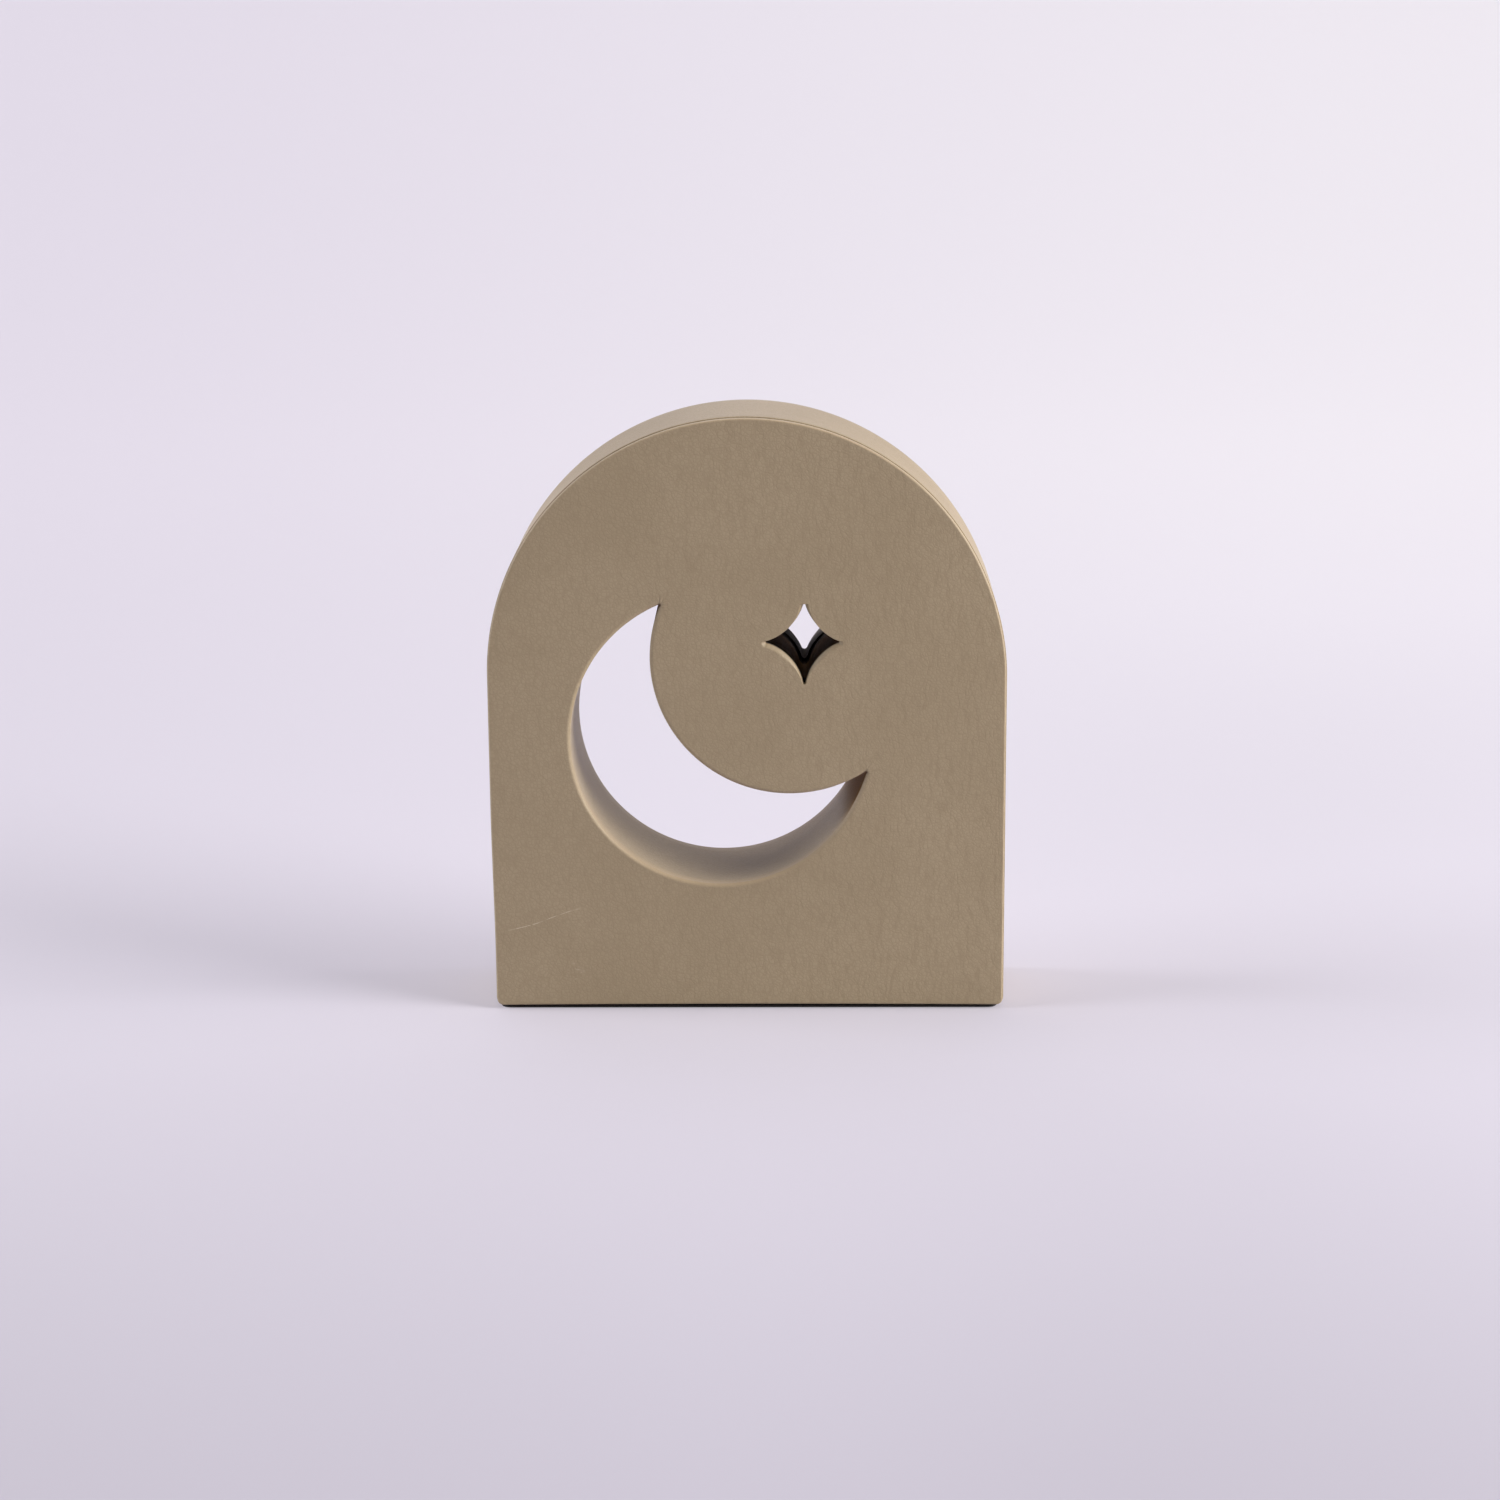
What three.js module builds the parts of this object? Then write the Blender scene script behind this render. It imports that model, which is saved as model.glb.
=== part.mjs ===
// A leather-covered ornament: an arch-shaped block with a crescent and a four-pointed star cut through it.
// Millimetres, +Z up. The origin is at the middle of the base. The front faces -Y.
// A contour is a line in the XZ plane, counter-clockwise as seen from the front, and a function of an offset
// that moves it parallel to itself: outwards where the offset is positive.

import * as THREE from 'three';

// whole object
const width = 170;
const depth = 47;
const height = 199;
const baseCorner = 3;

// crescent opening: inside the first circle and outside the second
const crescentOuter = { x: -8.7, z: 92.6, radius: 49.2 };
const crescentInner = { x: 14.3, z: 119.9, radius: 45.7 };
const crescentTip = 0.5;

// star opening: points at reach from its centre, joined by concave arcs that come within waist of it
const star = { x: 19.2, z: 125, reach: 13.4, waist: 7.1, tip: 0.5 };

// leatherette: its thickness, and for each border of a cover the rounding of its rim, and how far behind
// the face the turned-over edge ends
const leather = 1;
const archRim = { radius: 0.8, turned: 1.3 };
const crescentRim = { radius: 1.3, turned: 1.8 };
const starRim = { radius: 1.3, turned: 5 };

// boards and the dowels that line them up
const boardCount = 5;
const dowelRadius = 4;
const dowelPlaces = [[-65, 22], [65, 22], [-48, 160], [48, 160]];

// pad under the base
const padThickness = 1;
const padInset = 1.5;
const padCorner = 3;

// clearance between glued pieces, and between the ends or edges of the leatherette
const fitGap = 0.1;
const seamGap = 0.3;

// how finely round stretches are divided
const archSegments = 48;
const outerSegments = 40;
const innerSegments = 32;
const starSegments = 8;
const tipSegments = 3;
const cornerSegments = 3;
const rimSegments = 3;
const dowelSegments = 16;

const archRadius = width / 2;
const springLine = height - archRadius;
const frontFace = -depth / 2;

function arc(centre, radius, from, to, segments) {
  const points = [];
  for (let i = 0; i <= segments; i += 1) {
    const angle = from + ((to - from) * i) / segments;
    points.push(new THREE.Vector2(centre.x + radius * Math.cos(angle), centre.z + radius * Math.sin(angle)));
  }
  return points;
}

// joins arcs end to end, keeping one point where two of them meet
function chain(...arcs) {
  const points = [];
  for (const point of arcs.flat()) {
    const last = points.at(-1);
    if (!last || last.distanceTo(point) > 1e-6) {
      points.push(point);
    }
  }
  return points;
}

function closed(points) {
  const meets = points[0].distanceTo(points.at(-1)) < 1e-6;
  return meets ? points.slice(0, -1) : points;
}

function heading(from, to) {
  return Math.atan2(to.z - from.z, to.x - from.x);
}

function turnedAfter(angle, start) {
  return angle > start ? angle : angle + 2 * Math.PI;
}

function archContour(offset) {
  const right = { x: archRadius - baseCorner, z: padThickness + baseCorner };
  const left = { x: -right.x, z: right.z };
  const corner = baseCorner + offset;
  return chain(
    arc(right, corner, -Math.PI / 2, 0, cornerSegments),
    arc({ x: 0, z: springLine }, archRadius + offset, 0, Math.PI, archSegments),
    arc(left, corner, Math.PI, 1.5 * Math.PI, cornerSegments),
  );
}

// centre of the small circle that rounds a tip of the crescent: it touches both large circles
function tipCentre(side) {
  const a = crescentOuter;
  const b = crescentInner;
  const reachA = a.radius - crescentTip;
  const reachB = b.radius + crescentTip;
  const gap = Math.hypot(b.x - a.x, b.z - a.z);
  const along = (reachA ** 2 - reachB ** 2 + gap ** 2) / (2 * gap);
  const across = side * Math.sqrt(reachA ** 2 - along ** 2);
  const unit = { x: (b.x - a.x) / gap, z: (b.z - a.z) / gap };
  return { x: a.x + along * unit.x - across * unit.z, z: a.z + along * unit.z + across * unit.x };
}

const upperTip = tipCentre(1);
const lowerTip = tipCentre(-1);
const outerStart = heading(crescentOuter, upperTip);
const outerEnd = turnedAfter(heading(crescentOuter, lowerTip), outerStart);
const innerStart = turnedAfter(heading(crescentInner, lowerTip), 0);
const innerEnd = heading(crescentInner, upperTip);
const halfTip = (outerStart + 2 * Math.PI - (innerEnd + Math.PI)) / 2;

// long wall of the crescent, from the middle of the upper tip round to the middle of the lower one
function outerWall(offset) {
  const tip = crescentTip + offset;
  return chain(
    arc(upperTip, tip, outerStart - halfTip, outerStart, tipSegments),
    arc(crescentOuter, crescentOuter.radius + offset, outerStart, outerEnd, outerSegments),
    arc(lowerTip, tip, outerEnd, outerEnd + halfTip, tipSegments),
  );
}

// short wall, from the middle of the lower tip back to the middle of the upper one
function innerWall(offset) {
  const tip = crescentTip + offset;
  const lowerFacing = innerStart + Math.PI;
  const upperFacing = innerEnd + Math.PI;
  return chain(
    arc(lowerTip, tip, lowerFacing - halfTip, lowerFacing, tipSegments),
    arc(crescentInner, crescentInner.radius - offset, innerStart, innerEnd, innerSegments),
    arc(upperTip, tip, upperFacing, upperFacing + halfTip, tipSegments),
  );
}

function crescentContour(offset) {
  return closed(chain(outerWall(offset), innerWall(offset)));
}

function starContour(offset) {
  const tipAt = star.reach - star.tip;
  const slack = star.waist - star.tip;
  const arcAt = (tipAt ** 2 - slack ** 2) / (2 * (tipAt - Math.SQRT2 * slack));
  const arcRadius = arcAt * Math.SQRT2 - star.waist;
  const tipHalf = Math.atan2(arcAt, arcAt - tipAt);
  const arcs = [];
  for (let point = 0; point < 4; point += 1) {
    const turn = (point * Math.PI) / 2;
    const tip = { x: star.x + tipAt * Math.cos(turn), z: star.z + tipAt * Math.sin(turn) };
    const diagonal = turn + Math.PI / 4;
    const bow = {
      x: star.x + arcAt * Math.SQRT2 * Math.cos(diagonal),
      z: star.z + arcAt * Math.SQRT2 * Math.sin(diagonal),
    };
    const bowStart = turn + tipHalf + Math.PI;
    const bowEnd = turn + 1.5 * Math.PI - tipHalf;
    arcs.push(arc(tip, star.tip + offset, turn - tipHalf, turn + tipHalf, tipSegments));
    arcs.push(arc(bow, arcRadius - offset, bowStart, bowEnd, starSegments));
  }
  return closed(chain(...arcs));
}

function dowelContour(place) {
  const centre = { x: place[0], z: place[1] };
  return (offset) => closed(arc(centre, dowelRadius + offset, 0, 2 * Math.PI, dowelSegments));
}

// A closed body between two flat faces. Each border has a contour and a path: a list of [offset, y] steps
// that leads over its edge from the first face to the last one. The first border is the outline, the others
// are holes.
function slab(borders) {
  const positions = [];
  const index = [];
  const path = borders[0].path;
  const fromBack = path[0][1] > path.at(-1)[1];
  const triangle = (a, b, c) => index.push(...(fromBack ? [a, c, b] : [a, b, c]));
  const firstFace = [];
  const lastFace = [];
  borders.forEach((border, hole) => {
    const rings = border.path.map(([offset, y]) => {
      const start = positions.length / 3;
      const points = border.contour(offset);
      points.forEach((point) => positions.push(point.x, y, point.y));
      return { start, points };
    });
    const count = rings[0].points.length;
    for (let ring = 1; ring < rings.length; ring += 1) {
      for (let i = 0; i < count; i += 1) {
        const next = (i + 1) % count;
        const near = rings[ring - 1].start;
        const far = rings[ring].start;
        const corners = [near + i, far + i, far + next, near + next];
        const [a, b, c, d] = hole ? corners.reverse() : corners;
        triangle(a, b, c);
        triangle(a, c, d);
      }
    }
    firstFace.push(rings[0]);
    lastFace.push(rings.at(-1));
  });
  const cap = (face, turned) => {
    const numbers = face.flatMap(({ start, points }) => points.map((_, i) => start + i));
    const [outline, ...holes] = face.map(({ points }) => points);
    for (const [a, b, c] of THREE.ShapeUtils.triangulateShape(outline, holes)) {
      triangle(numbers[a], numbers[turned ? c : b], numbers[turned ? b : c]);
    }
  };
  cap(firstFace, false);
  cap(lastFace, true);
  const geometry = new THREE.BufferGeometry();
  geometry.setAttribute('position', new THREE.Float32BufferAttribute(positions, 3));
  geometry.setIndex(index);
  geometry.computeVertexNormals();
  return geometry;
}

// steps over a rounded rim, along the turned-over edge, round its cut and back under the face
function rimPath(face, side, rim) {
  const path = [];
  for (let i = 0; i <= rimSegments; i += 1) {
    const angle = (i * Math.PI) / 2 / rimSegments;
    const inset = rim.radius * (1 - Math.sin(angle));
    const behind = rim.radius * (1 - Math.cos(angle));
    path.push([side * inset, face * (depth / 2 - behind)]);
  }
  path.push([0, face * (depth / 2 - rim.turned)]);
  path.push([side * leather, face * (depth / 2 - rim.turned)]);
  path.push([side * leather, face * (depth / 2 - leather)]);
  return path;
}

function cover(face) {
  return slab([
    { contour: archContour, path: rimPath(face, -1, archRim) },
    { contour: crescentContour, path: rimPath(face, 1, crescentRim) },
    { contour: starContour, path: rimPath(face, 1, starRim) },
  ]);
}

// a strip of leatherette between two covers' rims, from an outer line and the same line on its glued side
function strip(outerLine, gluedLine, rim) {
  const reach = depth / 2 - rim.turned - seamGap;
  const outline = [...outerLine, ...gluedLine.toReversed()];
  return slab([{ contour: () => outline, path: [[0, -reach], [0, reach]] }]);
}

// the band's two ends meet under the middle of the base
function bandLine(offset) {
  const end = seamGap / 2;
  const under = padThickness - offset;
  return [new THREE.Vector2(end, under), ...archContour(offset), new THREE.Vector2(-end, under)];
}

function sideBand() {
  return strip(bandLine(0), bandLine(-leather), archRim);
}

// the long lining stops one step short of the middle of each tip, so that the two linings don't touch
function outerLining() {
  return strip(outerWall(leather).slice(1, -1), outerWall(0).slice(1, -1), crescentRim);
}

function innerLining() {
  return strip(innerWall(leather), innerWall(0), crescentRim);
}

function board(number) {
  const front = frontFace + leather + fitGap;
  const pitch = (fitGap - 2 * front) / boardCount;
  const near = front + number * pitch;
  const far = near + pitch - fitGap;
  const cut = leather + fitGap;
  const through = (offset) => [[offset, near], [offset, far]];
  return slab([
    { contour: archContour, path: through(-cut) },
    { contour: crescentContour, path: through(cut) },
    { contour: starContour, path: through(cut) },
    ...dowelPlaces.map((place) => ({ contour: dowelContour(place), path: through(fitGap) })),
  ]);
}

function dowel() {
  const length = depth - 2 * (leather + fitGap);
  return new THREE.CylinderGeometry(dowelRadius, dowelRadius, length, dowelSegments);
}

function basePad() {
  const halfX = archRadius - padInset;
  const halfY = depth / 2 - padInset;
  const outline = new THREE.Shape();
  outline.absarc(halfX - padCorner, halfY - padCorner, padCorner, 0, Math.PI / 2);
  outline.absarc(padCorner - halfX, halfY - padCorner, padCorner, Math.PI / 2, Math.PI);
  outline.absarc(padCorner - halfX, padCorner - halfY, padCorner, Math.PI, 1.5 * Math.PI);
  outline.absarc(halfX - padCorner, padCorner - halfY, padCorner, 1.5 * Math.PI, 2 * Math.PI);
  outline.closePath();
  return new THREE.ExtrudeGeometry(outline, {
    depth: padThickness - fitGap,
    bevelEnabled: false,
    curveSegments: cornerSegments,
  });
}

function finish(color, roughness) {
  return new THREE.MeshStandardMaterial({ color, roughness, metalness: 0 });
}

const ornament = new THREE.Group();

function add(name, geometry, material, x = 0, z = 0) {
  const mesh = new THREE.Mesh(geometry, material);
  mesh.name = name;
  mesh.position.set(x, 0, z);
  ornament.add(mesh);
}

add('front_cover', cover(-1), finish(0x968370, 0.55));
add('back_cover', cover(1), finish(0x968370, 0.55));
add('side_band', sideBand(), finish(0x9a8774, 0.55));
add('crescent_lining_outer', outerLining(), finish(0x94816e, 0.55));
add('crescent_lining_inner', innerLining(), finish(0x94816e, 0.55));
for (let number = 0; number < boardCount; number += 1) {
  add(`core_board_${number + 1}`, board(number), finish(0x8a6a48, 0.8));
}
dowelPlaces.forEach(([x, z], number) => {
  add(`dowel_${number + 1}`, dowel(), finish(0xc9a878, 0.7), x, z);
});
add('base_pad', basePad(), finish(0x1c1b1a, 0.95));

export default ornament;
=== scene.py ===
# An arch-shaped ornament wrapped in leatherette, with a crescent and a star cut right through it.
# Lengths in the dictionaries are millimetres and angles are degrees. The front faces -Y.
import math

import bmesh
import bpy
from mathutils import Matrix, Vector, noise


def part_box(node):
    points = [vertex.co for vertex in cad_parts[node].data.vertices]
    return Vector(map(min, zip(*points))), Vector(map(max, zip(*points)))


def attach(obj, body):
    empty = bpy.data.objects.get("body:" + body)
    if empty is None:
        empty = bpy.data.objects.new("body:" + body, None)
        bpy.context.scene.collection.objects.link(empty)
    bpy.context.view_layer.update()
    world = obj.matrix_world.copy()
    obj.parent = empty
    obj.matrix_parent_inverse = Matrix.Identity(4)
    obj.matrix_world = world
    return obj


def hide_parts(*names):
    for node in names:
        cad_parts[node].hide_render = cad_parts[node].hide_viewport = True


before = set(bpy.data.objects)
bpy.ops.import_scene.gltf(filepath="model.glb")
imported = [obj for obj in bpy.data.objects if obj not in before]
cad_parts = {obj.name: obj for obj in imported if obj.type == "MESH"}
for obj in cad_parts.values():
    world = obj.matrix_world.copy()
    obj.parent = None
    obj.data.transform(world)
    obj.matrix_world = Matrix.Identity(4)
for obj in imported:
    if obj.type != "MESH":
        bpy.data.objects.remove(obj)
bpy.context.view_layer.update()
mm = 0.001
print("frame loaded,", len(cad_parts), "pieces")


# a colour picker's values as a linear colour
def srgb(red, green, blue):
    shares = [c / 255 for c in (red, green, blue)]
    return (*[c / 12.92 if c <= 0.04045 else ((c + 0.055) / 1.055) ** 2.4 for c in shares], 1)


# camera, at the photograph's viewing angle
cameraSetup = {
    "place": (20.1, -1075.6, 343.4),
    "turn": 1.025,
    "tilt": 13.58,
    "roll": -0.37,
    "lens": 79.01,
    "sensor": 36,
    "reach": 100,  # metres
}


def makeCamera(setup):
    lens = bpy.data.cameras.new("camera")
    lens.lens = setup["lens"]
    lens.sensor_width = setup["sensor"]
    lens.clip_end = setup["reach"]
    placed = bpy.data.objects.new("camera", lens)
    turned = Matrix.Rotation(math.radians(setup["turn"]), 4, "Z")
    tilted = Matrix.Rotation(math.radians(90 - setup["tilt"]), 4, "X")
    rolled = Matrix.Rotation(math.radians(setup["roll"]), 4, "Z")
    placed.matrix_world = Matrix.Translation(Vector(setup["place"]) * mm) @ turned @ tilted @ rolled
    bpy.context.scene.collection.objects.link(placed)
    bpy.context.scene.camera = placed


makeCamera(cameraSetup)
print("camera placed")


# outlines: chains of arcs in the XZ plane, counter-clockwise as seen from the front
# a hollow arc has its centre outside the outline, so moving outwards makes it smaller
def arc(centre, radius, start, sweep, steps, hollow=False):
    return {"centre": Vector((centre[0], 0, centre[1])), "radius": radius, "start": start, "sweep": sweep,
            "steps": steps, "outwards": -1 if hollow else 1}


def heading(start, end):
    return math.atan2(end[1] - start[1], end[0] - start[0])


# rises smoothly from 0 at the start to 1 at the end
def eased(value, start, end):
    share = min(1, max(0, (value - start) / (end - start)))
    return share * share * (3 - 2 * share)


coverLow, coverHigh = (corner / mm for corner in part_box("front_cover"))
block = {
    "halfWidth": coverHigh.x,
    "halfDepth": -coverLow.y,
    "top": coverHigh.z,
    "bottom": coverLow.z,
    "corner": 2.3,
    "archSteps": 168,
    "cornerSteps": 10,
    "sideStep": 5,
    "bow": 0.3,  # the bottom edge rises this much between its corners
    "bowReach": 30,
    "lean": 0.6,  # the left side comes in this much near its foot
    "leanFrom": 72,
    "leanTo": 15,
    "coverSides": (-0.1, 0.5),  # how far the left and the right side stand out below the arch
    "bandSides": (0, 0.6),
    "sidesFrom": 150,
    "sidesTo": 110,
    "middle": (60, 80),  # across the base they fade out between these
}


def archOutline():
    side = block["halfWidth"] - block["corner"]
    foot = block["bottom"] + block["corner"]
    spring = block["top"] - block["halfWidth"]
    quarter = math.pi / 2
    return [
        arc((side, foot), block["corner"], -quarter, quarter, block["cornerSteps"]),
        arc((0, spring), block["halfWidth"], 0, math.pi, block["archSteps"]),
        arc((-side, foot), block["corner"], math.pi, quarter, block["cornerSteps"]),
    ]


# the same outline as an open line, whose ends almost meet under the middle of the base
def bandLine(gap):
    foot = block["bottom"] + block["corner"]
    first, last = (arc((side * gap / 2, foot), block["corner"], -math.pi / 2, 0, 0) for side in (1, -1))
    return [first, *archOutline(), last]


# the crescent is inside the first circle and outside the second
crescent = {
    "outer": {"centre": (-8.7, 92.6), "radius": 49.2, "steps": 200},
    "inner": {"centre": (14.3, 119.9), "radius": 45.7, "steps": 130},
    "tip": {"radius": 0.2, "steps": 12},
    "pull": (0.45, 0.22),  # how far the lower tip is drawn out
    "pullReach": 12,
}


# centres of the small circles that round the upper and the lower tip
def crescentTips():
    outer, inner, tip = crescent["outer"], crescent["inner"], crescent["tip"]
    between = Vector(inner["centre"]) - Vector(outer["centre"])
    reachOuter = outer["radius"] - tip["radius"]
    reachInner = inner["radius"] + tip["radius"]
    along = (reachOuter**2 - reachInner**2 + between.length_squared) / (2 * between.length)
    across = math.sqrt(reachOuter**2 - along**2)
    unit = between.normalized()
    middle = Vector(outer["centre"]) + unit * along
    return [middle + Vector((-unit.y, unit.x)) * across * side for side in (1, -1)]


# the long wall from tip to tip, and the short wall back again
def crescentWalls():
    outer, inner, tip = crescent["outer"], crescent["inner"], crescent["tip"]
    upper, lower = crescentTips()
    fullTurn = 2 * math.pi
    outerStart = heading(outer["centre"], upper) % fullTurn
    outerEnd = heading(outer["centre"], lower) % fullTurn
    if outerEnd < outerStart:
        outerEnd += fullTurn
    innerStart = heading(inner["centre"], lower) % fullTurn
    innerEnd = heading(inner["centre"], upper) % fullTurn
    halfTip = (outerStart + math.pi - innerEnd) / 2
    longWall = [
        arc(upper, tip["radius"], outerStart - halfTip, halfTip, tip["steps"]),
        arc(outer["centre"], outer["radius"], outerStart, outerEnd - outerStart, outer["steps"]),
        arc(lower, tip["radius"], outerEnd, halfTip, tip["steps"]),
    ]
    shortWall = [
        arc(lower, tip["radius"], outerEnd + halfTip, halfTip, tip["steps"]),
        arc(inner["centre"], inner["radius"], innerStart, innerEnd - innerStart, inner["steps"], hollow=True),
        arc(upper, tip["radius"], innerEnd + math.pi, halfTip, tip["steps"]),
    ]
    return longWall, shortWall


# the back's opening is a little smaller, with blunter points
# left, right and up are the shares of the reach by which those points fall short
star = {
    "centre": (19.2, 125.3),
    "front": {"reach": 13.7, "waist": 7.1, "tip": 0.35, "left": 0.08, "right": 0.17, "up": 0.08},
    "back": {"reach": 11.6, "waist": 7.1, "tip": 1, "left": 0.03, "right": 0.15, "up": 0.03},
    "tight": 0.93,  # how much tighter the leatherette lies along the upper edges than along the lower ones
    "tightSteepness": 1.4,
    "tightFoot": 0.7,  # and towards the lowest point
    "tightFootReach": (0.2, 0.9),
    "boardReach": 13.2,  # the back's turned-in leatherette widens to this
    "flareReach": 15,
    "bowSteps": 20,
    "tipSteps": 18,
}


# centres of the small circles that round the star's points
def starTips(shape):
    reach = shape["reach"] - shape["tip"]
    turns = [math.radians(90 * quarter) for quarter in range(4)]
    return [Vector(star["centre"]) + reach * Vector((math.cos(turn), math.sin(turn))) for turn in turns]


# four rounded points, joined by bows that come within the waist of the centre
def starOutline(shape):
    centre = Vector(star["centre"])
    tipAt = shape["reach"] - shape["tip"]
    slack = shape["waist"] - shape["tip"]
    bowAt = (tipAt**2 - slack**2) / (2 * (tipAt - math.sqrt(2) * slack))
    bowRadius = bowAt * math.sqrt(2) - shape["waist"]
    tipHalf = math.atan2(bowAt, bowAt - tipAt)
    bowSweep = math.pi / 2 - 2 * tipHalf
    outline = []
    for quarter, tipCentre in enumerate(starTips(shape)):
        turn = quarter * math.pi / 2
        diagonal = turn + math.pi / 4
        bowCentre = centre + bowAt * math.sqrt(2) * Vector((math.cos(diagonal), math.sin(diagonal)))
        outline.append(arc(tipCentre, shape["tip"], turn - tipHalf, 2 * tipHalf, star["tipSteps"]))
        outline.append(arc(bowCentre, bowRadius, turn + tipHalf + math.pi, bowSweep, star["bowSteps"],
                           hollow=True))
    return outline


tolerance = {"gap": 0.01, "double": 0.005, "sliver": 0.003}


# spins a vertex through each arc and along the straight sides between them, and notes which way is outwards
def traceLine(bm, outline, closed=True):
    outwards = bm.verts.layers.float_vector["outwards"]
    earlier = set(bm.verts)
    ends = []
    for part in outline:
        before = set(bm.verts)
        direction = Vector((math.cos(part["start"]), 0, math.sin(part["start"])))
        start = end = bm.verts.new(part["centre"] + part["radius"] * direction)
        if part["steps"]:
            spun = bmesh.ops.spin(bm, geom=[start], cent=part["centre"], axis=(0, -1, 0),
                                  angle=part["sweep"], steps=part["steps"])
            end = spun["geom_last"][0]
        for vert in set(bm.verts) - before:
            vert[outwards] = (vert.co - part["centre"]).normalized() * part["outwards"]
        ends.append((start, end))
    for (_, end), (start, _) in zip(ends, ends[1:] + ends[:1] * closed):
        side = start.co - end.co
        if side.length > tolerance["gap"]:
            before = set(bm.verts)
            steps = max(1, round(side.length / block["sideStep"]))
            bmesh.ops.spin(bm, geom=[end], angle=0, dvec=side / steps, steps=steps)
            for vert in set(bm.verts) - before:
                vert[outwards] = end[outwards]
    bmesh.ops.remove_doubles(bm, verts=[v for v in bm.verts if v not in earlier], dist=tolerance["double"])
    return [e for e in bm.edges if earlier.isdisjoint(e.verts)]


# extrudes a line through [outwards, y, slack, rubbed and lit tone] steps
# slack says how far a step may stray from its y, and only what faces up gets the rubbed and lit tone: wear,
# and a painted highlight
def extrudeSkin(bm, line, steps):
    outwards = bm.verts.layers.float_vector["outwards"]
    rubbedAndLitLayer = bm.verts.layers.float["rubbedAndLit"]
    moved = {v for e in line for v in e.verts}
    lastOut, lastY, lastSlack = 0, 0, 0
    rings = []
    for out, y, slack, rubbedAndLit in steps:
        if rings:
            made = bmesh.ops.extrude_edge_only(bm, edges=rings[-1])["geom"]
            moved = [g for g in made if isinstance(g, bmesh.types.BMVert)]
            line = [g for g in made if isinstance(g, bmesh.types.BMEdge)]
        for vert in moved:
            stray = (slack - lastSlack) * wander(vert.co.x, vert.co.z)
            vert.co += vert[outwards] * (out - lastOut)
            vert.co.y += y - lastY + stray
            vert[rubbedAndLitLayer] = max(0, rubbedAndLit * vert[outwards].z)
        rings.append(line)
        lastOut, lastY, lastSlack = out, y, slack
    return rings


trimming = {"long": 31, "short": 9, "shortShare": 0.3}


# how far a hand-trimmed edge strays from its line, from -1 to 1
def wander(x, z):
    long, short = (noise.noise(Vector((x, 0, z)) / trimming[wave]) for wave in ("long", "short"))
    return (1 - trimming["shortShare"]) * long + trimming["shortShare"] * short


def newSkin():
    bm = bmesh.new()
    bm.verts.layers.float_vector.new("outwards")
    bm.verts.layers.float.new("rubbedAndLit")
    return bm


# leatherette
leather = {
    "thickness": 1,
    "skin": 0.9,  # what lies less deep than this belongs to the outer surface
    "rimSteps": 9,
    "cutSteps": 3,
    "seamGap": 0.4,
    "liningGap": 0.03,
    "wornReach": 4,  # how far the rubbed and lit tone along a rim, wear and painted highlight, goes on behind it
    "backWorn": 0.3,  # the back's rims get this share of the front's rubbed and lit tone
    "smoothAngle": 50,
}

# for each border of a cover: the radius of the roll over its edge, how far that lies below the leather
# beside it, how straight the roll is, how far behind the face the turned-over edge starts to thin out and
# where it ends, how much that cut is rounded and strays, how much rubbed and lit tone it gets (wear, and a
# painted highlight where it faces up), and where the lines run that follow the border on the flat of the face
rims = {
    "arch": {"roll": 0.65, "sunk": 0.3, "bevel": 0, "thins": 2.2, "turned": 2.2, "cutRound": 0.2,
             "slack": 0.2, "rubbedAndLit": 1, "flat": [2, 1.6, 1.2]},
    "crescent": {"roll": 1.3, "sunk": 0, "bevel": 0, "thins": 1.8, "turned": 1.8, "cutRound": 0.03,
                 "slack": 0, "rubbedAndLit": 1, "flat": [8, 5.5, 3.8, 2.7, 2, 1.6]},
    "star": {"roll": 1.4, "sunk": 0, "bevel": 0.6, "thins": 1.6, "turned": 7.5, "cutRound": 0.05,
             "slack": 0.5, "rubbedAndLit": 0.25, "flat": [5, 3.6, 2.7, 2.1, 1.7]},
}


# from the flat of a face over its rim, along the turned-over edge, round the cut and back underneath
def rimSteps(face, side, rim):
    half, roll, cutRound, thickness = block["halfDepth"], rim["roll"], rim["cutRound"], leather["thickness"]
    path = [[side * inset, face * half, 0, 0] for inset in rim["flat"]]
    sunk, bevel = side * rim["sunk"], rim["bevel"]
    # the rubbed and lit tone: wear, with a painted highlight on what faces up
    rubbedAndLit = -side * rim["rubbedAndLit"] * (1 if face < 0 else leather["backWorn"])
    for i in range(leather["rimSteps"] + 1):
        share = i / leather["rimSteps"]
        angle = math.radians(90 * share)
        out = roll * ((1 - bevel) * (1 - math.sin(angle)) + bevel * (1 - share))
        behind = roll * ((1 - bevel) * (1 - math.cos(angle)) + bevel * share)
        path.append([sunk + side * out, face * (half - behind), 0, rubbedAndLit * math.sin(angle)])
    thinned = 0
    if rim["thins"] < rim["turned"]:
        path.append([sunk, face * (half - rim["thins"]), 0, rubbedAndLit])
        thinned = thickness - 2 * cutRound
    for i in range(leather["cutSteps"] + 1):
        angle = math.radians(90 * i / leather["cutSteps"])
        out = thinned + cutRound * (1 - math.cos(angle))
        behind = rim["turned"] - cutRound * (1 - math.sin(angle))
        path.append([sunk + side * out, face * (half - behind), rim["slack"], 0])
    path.append([side * thickness, face * (half - rim["turned"]), rim["slack"], 0])
    path.append([side * thickness, face * (half - thickness), 0, 0])
    return path


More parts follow.
